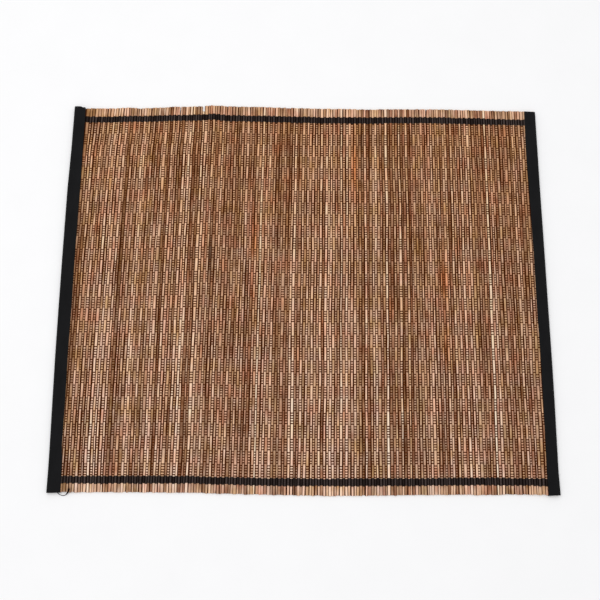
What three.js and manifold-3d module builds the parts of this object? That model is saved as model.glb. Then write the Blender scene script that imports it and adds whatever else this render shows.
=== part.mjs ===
// Bamboo table mat: thin split slats side by side, woven with brown thread into one flat sheet,
// a dense band of black thread near both ends of the slats, and a black cotton tape folded
// over each side of the mat. The slats run front to back, along Y.
// Millimetres, +X along the long side, +Y to the back edge, +Z up, underside on Z = 0.

import * as THREE from 'three';
import { mergeVertices } from 'three/addons/utils/BufferGeometryUtils.js';
import Module from 'manifold-3d';

// Slats and the sheet they make
const SLAT_COUNT = 182;
const SHEET_LEFT = -222.6;
const SHEET_RIGHT = 223.4;
const SLAT_THICKNESS = 1.0;
const WOVEN_THICKNESS = 1.8;
const GROOVE_WIDTH = 0.5;
const GROOVE_DEPTH = 0.4;
const WIDTH_SPREAD = 0.18;
const END_SPREAD = 0.7;
const END_NOTCH = 0.9;
const SERIES = { width: 1, backEnd: 2, frontEnd: 3 };

// Black thread bands, wound through the sheet near both ends of the slats
const BAND_WIDTH = 5.8;
const BAND_WALL = 0.6;
const BAND_BUMP_WIDTH = 0.35;
const BAND_BUMP_HEIGHT = 0.12;
const BAND_DRIFT = 12;
const LEVEL_STOPS = 6;

// Cotton tape folded over each side
const TAPE_THICKNESS = 1.0;
const FOLD_DEPTH = 1.5;
const FOLD_INSIDE_DEPTH = 0.5;
const FOLD_STEPS = 8;

// Space between neighbouring pieces, and the stretch over which the sheet
// settles from the height of its edges down to the surface it lies on
const CLEARANCE = 0.32;
const SETTLE = 30;

const SHEET_IN_TAPE = TAPE_THICKNESS + CLEARANCE;
const SHEET_IN_BAND = BAND_WALL + CLEARANCE;
const TAPE_HEIGHT = 2 * SHEET_IN_TAPE + SLAT_THICKNESS;

// Slat ends and band centre lines across the mat, as Y at each X
const ACROSS = [
  { x: -224, backEnd: 181.0, backBand: 169.1, frontBand: -173.9, frontEnd: -184.8 },
  { x: -192, backEnd: 181.7, backBand: 169.6, frontBand: -173.9, frontEnd: -184.5 },
  { x: -174, backEnd: 183.0, backBand: 171.1, frontBand: -173.8, frontEnd: -184.1 },
  { x: -165, backEnd: 182.2, backBand: 170.7, frontBand: -173.7, frontEnd: -184.3 },
  { x: -129, backEnd: 184.5, backBand: 172.2, frontBand: -173.5, frontEnd: -184.3 },
  { x: -102, backEnd: 185.1, backBand: 173.1, frontBand: -173.4, frontEnd: -184.3 },
  { x: -93, backEnd: 186.5, backBand: 174.2, frontBand: -173.4, frontEnd: -184.4 },
  { x: -75, backEnd: 185.3, backBand: 172.7, frontBand: -173.9, frontEnd: -185.1 },
  { x: -48, backEnd: 185.2, backBand: 172.4, frontBand: -174.5, frontEnd: -185.5 },
  { x: -12, backEnd: 184.3, backBand: 171.7, frontBand: -174.9, frontEnd: -186.0 },
  { x: 24, backEnd: 184.0, backBand: 171.6, frontBand: -174.9, frontEnd: -186.5 },
  { x: 60, backEnd: 183.8, backBand: 171.7, frontBand: -174.7, frontEnd: -186.0 },
  { x: 96, backEnd: 184.6, backBand: 172.5, frontBand: -174.3, frontEnd: -185.5 },
  { x: 132, backEnd: 184.8, backBand: 172.7, frontBand: -173.7, frontEnd: -185.0 },
  { x: 168, backEnd: 184.0, backBand: 172.2, frontBand: -173.3, frontEnd: -184.9 },
  { x: 186, backEnd: 183.8, backBand: 171.8, frontBand: -173.4, frontEnd: -184.2 },
  { x: 224, backEnd: 182.9, backBand: 170.6, frontBand: -173.9, frontEnd: -184.8 },
];

// Fold and inner edge of the two tapes from back to front, as X at each Y
const ALONG = [
  { y: 182.5, leftFold: -224.6, leftEdge: -213.5, rightEdge: 214.5, rightFold: 225.3 },
  { y: 137.5, leftFold: -224.9, leftEdge: -213.6, rightEdge: 213.7, rightFold: 225.3 },
  { y: 97.5, leftFold: -225.8, leftEdge: -213.6, rightEdge: 214.5, rightFold: 225.3 },
  { y: 37.5, leftFold: -225.9, leftEdge: -214.0, rightEdge: 215.0, rightFold: 225.6 },
  { y: -22.5, leftFold: -225.8, leftEdge: -213.8, rightEdge: 214.9, rightFold: 225.7 },
  { y: -62.5, leftFold: -225.6, leftEdge: -214.1, rightEdge: 215.5, rightFold: 225.9 },
  { y: -102.5, leftFold: -225.1, leftEdge: -213.4, rightEdge: 215.3, rightFold: 225.8 },
  { y: -142.5, leftFold: -224.5, leftEdge: -213.5, rightEdge: 214.9, rightFold: 225.4 },
  { y: -162.5, leftFold: -224.3, leftEdge: -212.3, rightEdge: 214.6, rightFold: 225.2 },
  { y: -185.2, leftFold: -224.4, leftEdge: -212.1, rightEdge: 214.9, rightFold: 225.7 },
];

// How far each cut end of a tape stands out past the ALONG table, at its fold and its inner edge
const TAPE_ENDS = {
  left: { backFold: 0.2, backEdge: -0.8, frontFold: 0.1, frontEdge: -0.2 },
  right: { backFold: -0.3, backEdge: 0.2, frontFold: -0.3, frontEdge: 0.2 },
};

const MATERIALS = {
  bamboo: new THREE.MeshStandardMaterial({ color: 0xa87e5c, roughness: 0.7, metalness: 0 }),
  blackThread: new THREE.MeshStandardMaterial({ color: 0x22242a, roughness: 0.75, metalness: 0 }),
  cottonTape: new THREE.MeshStandardMaterial({ color: 0x17181b, roughness: 0.9, metalness: 0 }),
};

// Value of one column of a table at a place on or between its rows
function between(table, place, at, column) {
  const rows = [...table].sort((a, b) => a[place] - b[place]);
  const upper = rows.find((row, n) => n > 0 && row[place] >= at) ?? rows.at(-1);
  const lower = rows[rows.indexOf(upper) - 1];
  const share = THREE.MathUtils.clamp((at - lower[place]) / (upper[place] - lower[place]), 0, 1);
  return THREE.MathUtils.lerp(lower[column], upper[column], share);
}

const across = (x, column) => between(ACROSS, 'x', x, column);
const along = (y, column) => between(ALONG, 'y', y, column);

// Repeatable spread between -0.5 and 0.5 for slat number n: the far digits of a fast sine wave
function spread(n, series) {
  const turns = n * 12.9898 + series * 78.233;
  const digits = Math.sin(turns) * 43758.5453;
  return digits - Math.floor(digits) - 0.5;
}

// 1 inside the tapes and 0 where the sheet lies on the surface
function nearSide(x) {
  const leftEdge = Math.max(...ALONG.map((row) => row.leftEdge)) + CLEARANCE;
  const rightEdge = Math.min(...ALONG.map((row) => row.rightEdge)) - CLEARANCE;
  const inward = Math.min(x - leftEdge, rightEdge - x);
  return THREE.MathUtils.clamp(1 - inward / SETTLE, 0, 1);
}

// Underside of the bare slats where the thread bands hold them
const bareUnderside = (x) => THREE.MathUtils.lerp(SHEET_IN_BAND, SHEET_IN_TAPE, nearSide(x));

// Collects points and outward faces, and turns them into a geometry
class Skin {
  constructor() {
    this.points = [];
    this.faces = [];
  }

  point(x, y, z) {
    this.points.push(x, y, z);
    return this.points.length / 3 - 1;
  }

  face(a, b, c) {
    this.faces.push(a, b, c);
  }

  quad(a, b, c, d) {
    this.face(a, b, c);
    this.face(a, c, d);
  }

  geometry() {
    const geometry = new THREE.BufferGeometry();
    geometry.setAttribute('position', new THREE.Float32BufferAttribute(this.points, 3));
    geometry.setIndex(this.faces);
    return geometry;
  }
}

// X of the grooves between the slats: slats of slightly uneven width, side by side
function grooveLines() {
  const slats = [...Array(SLAT_COUNT).keys()];
  const widths = slats.map((n) => 1 + WIDTH_SPREAD * spread(n, SERIES.width));
  const total = widths.reduce((sum, width) => sum + width, 0);
  const scale = (SHEET_RIGHT - SHEET_LEFT) / total;
  const lines = [SHEET_LEFT];
  for (const width of widths) {
    lines.push(lines[lines.length - 1] + width * scale);
  }
  return lines;
}

// Rows of the sheet from back to front: the slat ends, the inner side of each band, and where the
// sheet has settled on the surface. Slats are bare from each end to its band and woven between.
const BAND_SIDE = BAND_WIDTH / 2 + CLEARANCE;
const SHEET_ROWS = [
  { y: (x) => across(x, 'backEnd'), bare: true, outward: 1, series: SERIES.backEnd },
  { y: (x) => across(x, 'backBand') - BAND_SIDE, bare: true },
  { y: (x) => across(x, 'backBand') - BAND_SIDE - SETTLE, bare: false },
  { y: (x) => across(x, 'frontBand') + BAND_SIDE + SETTLE, bare: false },
  { y: (x) => across(x, 'frontBand') + BAND_SIDE, bare: true },
  { y: (x) => across(x, 'frontEnd'), bare: true, outward: -1, series: SERIES.frontEnd },
];

function sheetUnderside(x, row) {
  return row.bare ? bareUnderside(x) : nearSide(x) * SHEET_IN_TAPE;
}

function sheetThickness(x, row) {
  return row.bare ? SLAT_THICKNESS : THREE.MathUtils.lerp(WOVEN_THICKNESS, SLAT_THICKNESS, nearSide(x));
}

// The woven sheet: a raised rib for each slat on the upper face, a flat underside, and square slat
// ends that stand unevenly past the grooves between them
function wovenSheet(lines) {
  const skin = new Skin();
  const rows = SHEET_ROWS.map((row) => sheetRow(skin, lines, row));
  for (let r = 0; r + 1 < rows.length; r += 1) {
    joinRows(skin, rows[r], rows[r + 1]);
  }
  closeEnd(skin, rows[0], false);
  closeEnd(skin, rows[rows.length - 1], true);
  return skin.geometry();
}

function sheetRow(skin, lines, row) {
  const notch = row.outward ? row.outward * END_NOTCH : 0;
  const top = [];
  const bottom = [];
  lines.forEach((x, n) => {
    const y = row.y(x) - notch;
    const underside = sheetUnderside(x, row);
    bottom.push(skin.point(x, y, underside));
    top.push(skin.point(x, y, underside + sheetThickness(x, row) - GROOVE_DEPTH));
    if (n < SLAT_COUNT) {
      const middle = (x + lines[n + 1]) / 2;
      const uneven = row.outward ? END_SPREAD * spread(n, row.series) : 0;
      for (const crest of [x + GROOVE_WIDTH / 2, lines[n + 1] - GROOVE_WIDTH / 2]) {
        const crestY = row.outward ? row.y(middle) + uneven : row.y(crest);
        top.push(skin.point(crest, crestY, sheetUnderside(crest, row) + sheetThickness(crest, row)));
      }
    }
  });
  return { top, bottom };
}

function joinRows(skin, back, front) {
  for (let n = 0; n + 1 < back.top.length; n += 1) {
    skin.quad(back.top[n], front.top[n], front.top[n + 1], back.top[n + 1]);
  }
  for (let n = 0; n + 1 < back.bottom.length; n += 1) {
    skin.quad(back.bottom[n], back.bottom[n + 1], front.bottom[n + 1], front.bottom[n]);
  }
  skin.quad(back.top[0], back.bottom[0], front.bottom[0], front.top[0]);
  skin.quad(front.top.at(-1), front.bottom.at(-1), back.bottom.at(-1), back.top.at(-1));
}

// Cut ends of the slats, four faces each
function closeEnd(skin, row, faceFront) {
  const face = faceFront ? (a, b, c) => skin.face(a, c, b) : (a, b, c) => skin.face(a, b, c);
  for (let n = 0; n < SLAT_COUNT; n += 1) {
    const [groove, left, right, nextGroove] = row.top.slice(3 * n, 3 * n + 4);
    const under = row.bottom[n];
    const nextUnder = row.bottom[n + 1];
    face(under, groove, left);
    face(under, left, right);
    face(under, right, nextUnder);
    face(nextUnder, right, nextGroove);
  }
}

// X where a thread band turns down between two slats, just inside the tapes
function bandReach(column) {
  const middle = across(0, column);
  const sides = [middle - BAND_DRIFT, middle + BAND_DRIFT];
  return {
    left: Math.max(...sides.map((y) => along(y, 'leftEdge'))) + 2 * CLEARANCE,
    right: Math.min(...sides.map((y) => along(y, 'rightEdge'))) - 2 * CLEARANCE,
  };
}

// The upper run of a thread band, one stop at each groove: it rises and widens over every second
// slat, as packed thread does
function upperRun(lines, column, reach) {
  const grooves = lines.filter((x) => x > reach.left + BAND_WALL && x < reach.right - BAND_WALL);
  return [reach.left, ...grooves, reach.right].map((x, n) => {
    const swell = n % 2 === 0 ? -1 : 1;
    const inner = bareUnderside(x) + SLAT_THICKNESS + CLEARANCE;
    return {
      x,
      inner,
      outer: inner + BAND_WALL + swell * BAND_BUMP_HEIGHT,
      half: BAND_WIDTH / 2 + swell * BAND_BUMP_WIDTH,
    };
  });
}

// The lower run is plain and flat, with fewer stops where it lies level
function lowerRun(upper) {
  const kept = upper.filter(({ x }, n) => (
    nearSide(x) > 0 || n % LEVEL_STOPS === 0 || n === upper.length - 1
  ));
  return kept.reverse().map(({ x }) => {
    const inner = bareUnderside(x) - CLEARANCE;
    return { x, inner, outer: inner - BAND_WALL, half: BAND_WIDTH / 2 };
  });
}

// A black thread band: one flat loop over and under the slats that passes down through the sheet
// at both ends
function threadBand(lines, column) {
  const reach = bandReach(column);
  const upper = upperRun(lines, column, reach);
  const skin = new Skin();
  const loop = [...upper, ...lowerRun(upper)].map(({ x, inner, outer, half }) => {
    const innerX = THREE.MathUtils.clamp(x, reach.left + BAND_WALL, reach.right - BAND_WALL);
    const y = across(x, column);
    const innerY = across(innerX, column);
    return [
      skin.point(x, y + half, outer),
      skin.point(x, y - half, outer),
      skin.point(innerX, innerY - half, inner),
      skin.point(innerX, innerY + half, inner),
    ];
  });
  loop.forEach((section, n) => {
    joinSections(skin, section, loop[(n + 1) % loop.length]);
  });
  return skin.geometry();
}

function joinSections(skin, from, to) {
  from.forEach((corner, n) => {
    const next = (n + 1) % from.length;
    skin.quad(corner, from[next], to[next], to[n]);
  });
}

// The two openings in the sheet through which a thread band turns down
function bandOpenings(column) {
  const reach = bandReach(column);
  return [reach.left + BAND_WALL / 2, reach.right - BAND_WALL / 2].map((x) => {
    const width = BAND_WALL + 2 * CLEARANCE;
    const depth = BAND_WIDTH + 2 * (BAND_BUMP_WIDTH + CLEARANCE);
    const opening = new THREE.BoxGeometry(width, depth, 2 * TAPE_HEIGHT);
    opening.translate(x, across(x, column), SHEET_IN_TAPE);
    return opening;
  });
}

// Section of a folded tape at one Y: the outside of the fold, then the inside, as X and Z
function tapeSection(fold, edge) {
  const inward = Math.sign(edge - fold);
  const middle = TAPE_HEIGHT / 2;
  const outside = new THREE.EllipseCurve(0, middle, FOLD_DEPTH, middle, Math.PI / 2, (3 * Math.PI) / 2);
  const insideHeight = middle - TAPE_THICKNESS;
  const inside = new THREE.EllipseCurve(
    0, middle, FOLD_INSIDE_DEPTH, insideHeight, (3 * Math.PI) / 2, Math.PI / 2, true);
  const outsideX = fold + inward * FOLD_DEPTH;
  const insideX = fold + inward * (TAPE_THICKNESS + FOLD_INSIDE_DEPTH);
  return [
    { x: edge, z: TAPE_HEIGHT },
    ...outside.getPoints(FOLD_STEPS).map((p) => ({ x: outsideX + inward * p.x, z: p.y })),
    { x: edge, z: 0 },
    { x: edge, z: TAPE_THICKNESS },
    ...inside.getPoints(FOLD_STEPS / 2).map((p) => ({ x: insideX + inward * p.x, z: p.y })),
    { x: edge, z: TAPE_HEIGHT - TAPE_THICKNESS },
  ];
}

// A tape folded over one side of the mat, from the back end to the front end
function foldedTape(side) {
  const ends = TAPE_ENDS[side];
  const skin = new Skin();
  const outlines = ALONG.map((row) => tapeSection(row[`${side}Fold`], row[`${side}Edge`]));
  const sections = ALONG.map((row, n) => outlines[n].map(({ x, z }) => {
    const share = (x - row[`${side}Edge`]) / (row[`${side}Fold`] - row[`${side}Edge`]);
    const back = n === 0 ? THREE.MathUtils.lerp(ends.backEdge, ends.backFold, share) : 0;
    const front = n === ALONG.length - 1 ? THREE.MathUtils.lerp(ends.frontEdge, ends.frontFold, share) : 0;
    return skin.point(x, row.y + back - front, z);
  }));
  const ordered = side === 'right' ? sections.map((section) => [...section].reverse()) : sections;
  for (let n = 0; n + 1 < ordered.length; n += 1) {
    joinSections(skin, ordered[n], ordered[n + 1]);
  }
  closeSection(skin, outlines[0], sections[0], true);
  closeSection(skin, outlines.at(-1), sections.at(-1), false);
  return skin.geometry();
}

// A cut end of the tape, filled in its own plane
function closeSection(skin, outline, section, facesBack) {
  const contour = outline.map(({ x, z }) => new THREE.Vector2(x, z));
  for (const [a, b, c] of THREE.ShapeUtils.triangulateShape(contour, [])) {
    const corners = [section[a], section[b], section[c]];
    skin.face(...(facesBack ? corners.reverse() : corners));
  }
}

const wasm = await Module();
wasm.setup();

function toSolid(geometry) {
  const bare = geometry.clone();
  bare.deleteAttribute('normal');
  bare.deleteAttribute('uv');
  const merged = mergeVertices(bare, 1e-4);
  return new wasm.Manifold(new wasm.Mesh({
    numProp: 3,
    vertProperties: new Float32Array(merged.getAttribute('position').array),
    triVerts: new Uint32Array(merged.getIndex().array),
  }));
}

function fromSolid(solid) {
  const mesh = solid.getMesh();
  const geometry = new THREE.BufferGeometry();
  geometry.setAttribute('position', new THREE.BufferAttribute(mesh.vertProperties, 3));
  geometry.setIndex(new THREE.BufferAttribute(mesh.triVerts, 1));
  return geometry;
}

function cut(geometry, openings) {
  const solid = openings.reduce((rest, opening) => rest.subtract(toSolid(opening)), toSolid(geometry));
  return fromSolid(solid);
}

const mat = new THREE.Group();

function addPiece(name, geometry, material) {
  geometry.computeVertexNormals();
  const mesh = new THREE.Mesh(geometry, material);
  mesh.name = name;
  mat.add(mesh);
}

const lines = grooveLines();
const openings = [...bandOpenings('backBand'), ...bandOpenings('frontBand')];
addPiece('woven_field', cut(wovenSheet(lines), openings), MATERIALS.bamboo);
addPiece('black_band_back', threadBand(lines, 'backBand'), MATERIALS.blackThread);
addPiece('black_band_front', threadBand(lines, 'frontBand'), MATERIALS.blackThread);
addPiece('binding_left', foldedTape('left'), MATERIALS.cottonTape);
addPiece('binding_right', foldedTape('right'), MATERIALS.cottonTape);

// The origin is the middle of the mat's outline, on the surface it lies on
const middle = new THREE.Box3().setFromObject(mat).getCenter(new THREE.Vector3());
mat.position.set(-middle.x, -middle.y, 0);

export default mat;
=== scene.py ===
# %% [markdown]
# Bamboo table mat.
# The mat is a sheet of thin split bamboo slats laid side by side. Brown thread runs across them,
# over one slat and under the next, and after every fifth row it changes places, which gives the
# brick pattern. A dense band of black thread holds each end, and black cotton tape is folded over
# both sides. Everything is worked out in metres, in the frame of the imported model, which is loaded
# first. Its five plain solids say where the real pieces lie.

# %% Load the frame
import math

import bpy
import numpy as np
from mathutils import Matrix, Vector


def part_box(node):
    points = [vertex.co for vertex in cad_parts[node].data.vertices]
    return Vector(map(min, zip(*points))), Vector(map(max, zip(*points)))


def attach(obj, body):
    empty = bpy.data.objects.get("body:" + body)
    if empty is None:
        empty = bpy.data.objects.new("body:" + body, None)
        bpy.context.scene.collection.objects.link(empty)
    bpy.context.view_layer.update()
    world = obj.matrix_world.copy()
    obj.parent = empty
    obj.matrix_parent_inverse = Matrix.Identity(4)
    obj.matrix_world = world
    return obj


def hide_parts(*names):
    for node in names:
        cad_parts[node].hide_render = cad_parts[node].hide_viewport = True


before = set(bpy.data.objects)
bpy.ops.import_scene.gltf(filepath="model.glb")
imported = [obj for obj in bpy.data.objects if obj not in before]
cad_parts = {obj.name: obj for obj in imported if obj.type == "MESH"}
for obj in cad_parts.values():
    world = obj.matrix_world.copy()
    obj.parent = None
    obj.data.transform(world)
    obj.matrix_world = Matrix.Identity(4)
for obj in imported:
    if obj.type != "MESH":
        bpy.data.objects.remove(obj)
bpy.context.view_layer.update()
MM = 0.001

# %% [markdown]
# The camera stands in front of the mat and looks down at it steeply, as in the photograph.
# A camera could be placed by eye, but here its direction comes from three angles: how far it looks
# down, is turned about the vertical, and is rolled. From them come its own right, up and backward
# directions, which are the columns of its rotation matrix.

# %% Camera
LOOK_DOWN = math.radians(75.39)
TURN = math.radians(2.87)
ROLL = math.radians(3.27)
DISTANCE = 0.8333
TARGET = Vector((-0.0041, -0.0090, 0))
LENS_MM = 54
SENSOR_MM = 36
NEAREST_SEEN = 0.01


def new_object(name, data):
    """An object in the scene that shows a mesh, or holds a lamp's or a camera's data."""
    made = bpy.data.objects.new(name, data)
    bpy.context.scene.collection.objects.link(made)
    return made


def make_camera():
    """A camera DISTANCE from TARGET. Its right direction is level before the roll, and its up
    direction is right crossed with forward."""
    level = math.cos(LOOK_DOWN)
    forward = Vector((math.sin(TURN) * level, math.cos(TURN) * level, -math.sin(LOOK_DOWN)))
    right = Vector((math.cos(TURN), -math.sin(TURN), 0))
    up = right.cross(forward)
    rolled_right = math.cos(ROLL) * right + math.sin(ROLL) * up
    rolled_up = math.cos(ROLL) * up - math.sin(ROLL) * right
    lens = bpy.data.cameras.new("camera")
    lens.lens = LENS_MM
    lens.sensor_width = SENSOR_MM
    lens.clip_start = NEAREST_SEEN
    camera = new_object("camera", lens)
    axes = Matrix((rolled_right, rolled_up, -forward)).transposed()
    camera.rotation_euler = axes.to_euler()
    camera.location = TARGET - DISTANCE * forward
    return camera


bpy.context.scene.camera = make_camera()
print("camera at", [round(c, 3) for c in bpy.context.scene.camera.location])

# %% [markdown]
# A finish in Blender is a small network of nodes. It could be drawn in the shader editor, but in
# code each material reads as a list, made by one function that adds any node with its settings and
# links. Colours are written as the sRGB values that a paint program shows, and one function turns
# them into the linear values that light adds up in.

# %% Colours and nodes


def linear(hex_colour):
    """Linear red, green, blue and alpha of an sRGB hex value: below 0.04045 a twelfth and a bit of
    it, above that the power 2.4 of its shifted value."""
    channels = [int(hex_colour[n:n + 2], 16) / 255 for n in (1, 3, 5)]
    curve = [c / 12.92 if c <= 0.04045 else ((c + 0.055) / 1.055) ** 2.4 for c in channels]
    return (*curve, 1)


def add(tree, kind, settings=None, stops=(), **inputs):
    """Adds a node. kind is its type without the word ShaderNode, settings are its own properties,
    and stops are a colour ramp's places, in order, and hex colours. inputs are named for its
    sockets, with _ for a space, or n and the socket's number, as where a Mix node has its colours
    at 6 and 7. Each is a value, an output, or a node, which stands for its first output in use."""
    node = tree.nodes.new("ShaderNode" + kind)
    for name, value in (settings or {}).items():
        setattr(node, name, value)
    for n, (place, colour) in enumerate(stops):
        stop = node.color_ramp.elements[n] if n < 2 else node.color_ramp.elements.new(place)
        stop.position = place
        stop.color = linear(colour)
    for name, value in inputs.items():
        key = int(name[1:]) if name[0] == "n" and name[1:].isdigit() else name.replace("_", " ")
        if isinstance(value, bpy.types.Node):
            value = next(output for output in value.outputs if output.enabled)
        if isinstance(value, bpy.types.NodeSocket):
            tree.links.new(value, node.inputs[key])
        else:
            node.inputs[key].default_value = value
    return node


def new_material(name):
    """An empty material and its node tree."""
    material = bpy.data.materials.new(name)
    material.use_nodes = True
    material.node_tree.nodes.clear()
    return material, material.node_tree


def sized(tree, *size_mm):
    """Object coordinates counted in steps of the given millimetres along X, Y and Z."""
    place = add(tree, "TexCoord").outputs["Object"]
    scale = [1 / (size * MM) for size in size_mm]
    return add(tree, "Mapping", Vector=place, Scale=scale)


def finish(material, **inputs):
    """Ends a material with its surface shader."""
    tree = material.node_tree
    surface = add(tree, "BsdfPrincipled", **inputs)
    add(tree, "OutputMaterial", Surface=surface)
    print(material.name, "has", len(tree.nodes), "nodes")


print("sRGB 808080 is", round(linear("#808080")[0], 3), "in linear light")

# %% [markdown]
# The mat lies on a plain white table under soft studio light, with almost no shadow. An even white
# sky gives most of the light, and one large soft lamp above the mat gives its forms a lit side.
# Lamps alone could light it too, but they would leave patches of light on the table. The picture
# is shown without a film curve, so that white stays white and brown stays brown.

# %% Table, light and picture
TABLE_SIZE = 8.0
SKY_STRENGTH = 0.73
LAMP_SIZE = 1.6
LAMP_WATTS = 12
LAMP_PLACE = Vector((-0.3, 0.2, 1.7))


def white_table():
    """A flat square under the mat, on Z = 0, in paint with faint clouds 40 mm wide."""
    half = TABLE_SIZE / 2
    mesh = bpy.data.meshes.new("table")
    mesh.from_pydata([(-half, -half, 0), (half, -half, 0), (half, half, 0), (-half, half, 0)], [],
                     [(0, 1, 2, 3)])
    table = new_object("table", mesh)
    material, tree = new_material("white_table_paint")
    clouds = add(tree, "TexNoise", Vector=sized(tree, 40, 40, 40), Scale=1.0)
    white = add(tree, "ValToRGB", stops=[(0, "#f6f6f7"), (1, "#f9f9fa")], Fac=clouds)
    finish(material, Base_Color=white, Roughness=0.8, Specular_IOR_Level=0.1)
    mesh.materials.append(material)


def soft_light():
    """An even white sky and one wide lamp that points at the mat."""
    world = bpy.data.worlds.new("sky")
    world.use_nodes = True
    background = world.node_tree.nodes["Background"].inputs
    background["Color"].default_value = (1, 1, 1, 1)
    background["Strength"].default_value = SKY_STRENGTH
    bpy.context.scene.world = world
    light = bpy.data.lights.new("soft_lamp", "AREA")
    light.size = LAMP_SIZE
    light.energy = LAMP_WATTS
    lamp = new_object("soft_lamp", light)
    lamp.location = LAMP_PLACE
    lamp.rotation_euler = (-LAMP_PLACE).to_track_quat("-Z", "Y").to_euler()


white_table()
soft_light()
bpy.context.scene.view_settings.view_transform = "Standard"
print("table, sky and one lamp are made")

# %% [markdown]
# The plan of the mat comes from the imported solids. Its places could be written out again here, but
# read from the solids they always fit them. A long and thin solid can be read as a row of stations:
# its corners are sorted along its length, and at each station the lowest and the highest corner
# across it are its two edges. The slats repeat the rule that the solid's ribs follow, so each slat
# of the dressed mat lies on its own rib.

# %% Reading the solids
BAND_STATION_GAP = 0.2 * MM
TAPE_STATION_GAP = 5 * MM


def corners(mesh):
    """Corners of a mesh, one row of X, Y and Z each."""
    flat = np.empty(3 * len(mesh.vertices), np.float32)
    mesh.vertices.foreach_get("co", flat)
    return flat.reshape(-1, 3).astype(float)


def edges(node, along, across, gap):
    """The low and the high edge of a long node, with one corner at each station. A new station
    starts where the next corner along the node is more than gap away."""
    points = corners(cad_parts[node].data)
    points = points[np.argsort(points[:, along])]
    starts = np.flatnonzero(np.diff(points[:, along]) > gap) + 1
    stations = np.split(points, starts)
    low = np.array([group[np.argmin(group[:, across])] for group in stations])
    high = np.array([group[np.argmax(group[:, across])] for group in stations])
    return low, high


def middle_line(node):
    """Y of a thread band's middle, as a function of X."""
    low, high = edges(node, 0, 1, BAND_STATION_GAP)
    return lambda x: np.interp(x, low[:, 0], (low[:, 1] + high[:, 1]) / 2)


band_back = middle_line("black_band_back")
band_front = middle_line("black_band_front")
tape_left_edges = edges("binding_left", 1, 0, TAPE_STATION_GAP)
tape_right_edges = edges("binding_right", 1, 0, TAPE_STATION_GAP)
inner_left = tape_left_edges[1][:, 0].mean()
inner_right = tape_right_edges[0][:, 0].mean()
print("mm between the tapes:", round((inner_right - inner_left) / MM, 1))

# %% Plan of the slats
SLAT_COUNT = 182
WIDTH_SPREAD = 0.18
TURNS_PER_SLAT = 12.9898
FIRST_TURN = 78.233
FAR_DIGITS = 43758.5453


def slat_widths():
    """One width near 1 for each slat. The far digits of a fast sine wave, less a half, spread them
    by WIDTH_SPREAD in all."""
    digits = np.sin(np.arange(SLAT_COUNT) * TURNS_PER_SLAT + FIRST_TURN) * FAR_DIGITS
    return 1 + WIDTH_SPREAD * (digits - np.floor(digits) - 0.5)


field_low, field_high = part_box("woven_field")
widths = slat_widths()
sides = np.concatenate([[0], np.cumsum(widths) / widths.sum()])
sides = field_low.x + (field_high.x - field_low.x) * sides
centre = (sides[:-1] + sides[1:]) / 2
field = corners(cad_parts["woven_field"].data)
owner = np.clip(np.searchsorted(sides, field[:, 0]) - 1, 0, SLAT_COUNT - 1)
tip_back = np.full(SLAT_COUNT, -np.inf)
tip_front = np.full(SLAT_COUNT, np.inf)
np.maximum.at(tip_back, owner, field[:, 1])
np.minimum.at(tip_front, owner, field[:, 1])
print("slats:", SLAT_COUNT, "mean pitch in mm:", round(np.diff(sides).mean() / MM, 3))

# %% [markdown]
# Heights. The woven sheet lies on the table in the middle, and near the two tapes it rises by the
# thickness of the cloth beneath it. A straight slope between the two levels would show a bend at
# each end, so an ease curve joins them, as slats sewn to a thicker edge would settle.

# %% Heights
TAPE_CLOTH = 0.8 * MM
SHEET_REST = 1.06 * MM
SETTLE = 30 * MM
tape_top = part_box("binding_left")[1].z


def ease(share):
    """0 to 1 along a smooth S: three times the square less twice the cube."""
    share = np.clip(share, 0, 1)
    return share * share * (3 - 2 * share)


def sheet_height(x):
    """Height of the sheet's middle: half the tape's height inside the tapes, SHEET_REST further
    than SETTLE away from them, and an ease curve between."""
    inward = np.minimum(x - inner_left, inner_right - x)
    return SHEET_REST + (tape_top / 2 - SHEET_REST) * ease(1 - inward / SETTLE)


print("the sheet rises from", SHEET_REST / MM, "to", round(tape_top / 2 / MM, 2), "mm")

# %% [markdown]
# Hand work is never quite even: slats drift sideways, vary in width and lie a little askew, and
# threads wander. That comes from random numbers with a fixed seed, so the mat is the same each
# time. A slow drift is a coarse grid of random values, joined by ease curves. What the real mat has
# in one place only, such as a stain, stands in a short table.

# %% Unevenness and tables
rng = np.random.default_rng(29)


def drift(shape, knots, reach=1, source=rng):
    """Smooth random values from -reach to reach on a grid of the given shape: a coarse grid of
    knots drawn from source, whose values ease curves join along both axes."""
    grid = source.uniform(-1, 1, (knots[0] + 1, knots[1] + 1))
    for axis in (0, 1):
        place = np.linspace(0, knots[axis], shape[axis])
        low = np.minimum(place.astype(int), knots[axis] - 1)
        share = ease(place - low).reshape((-1, 1) if axis == 0 else (1, -1))
        grid = np.take(grid, low, axis) * (1 - share) + np.take(grid, low + 1, axis) * share
    return reach * grid


def columns(names, *rows):
    """The named columns of a table, each one an array, from its rows."""
    return dict(zip(names.split(), np.array(rows, float).T))


print("random source:", type(rng.bit_generator).__name__)

# %% [markdown]
# Slats, threads, tapes and the loose thread end are all tubes: a closed section carried along a
# path. Curve objects with a bevel could do it where the section stays the same, but a slat's
# changes along its length. So one function turns a whole batch of sections into a mesh. It only
# has to number the corners of an array, without a loop over them.

# %% Tubes to a mesh
pieces = {}


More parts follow.
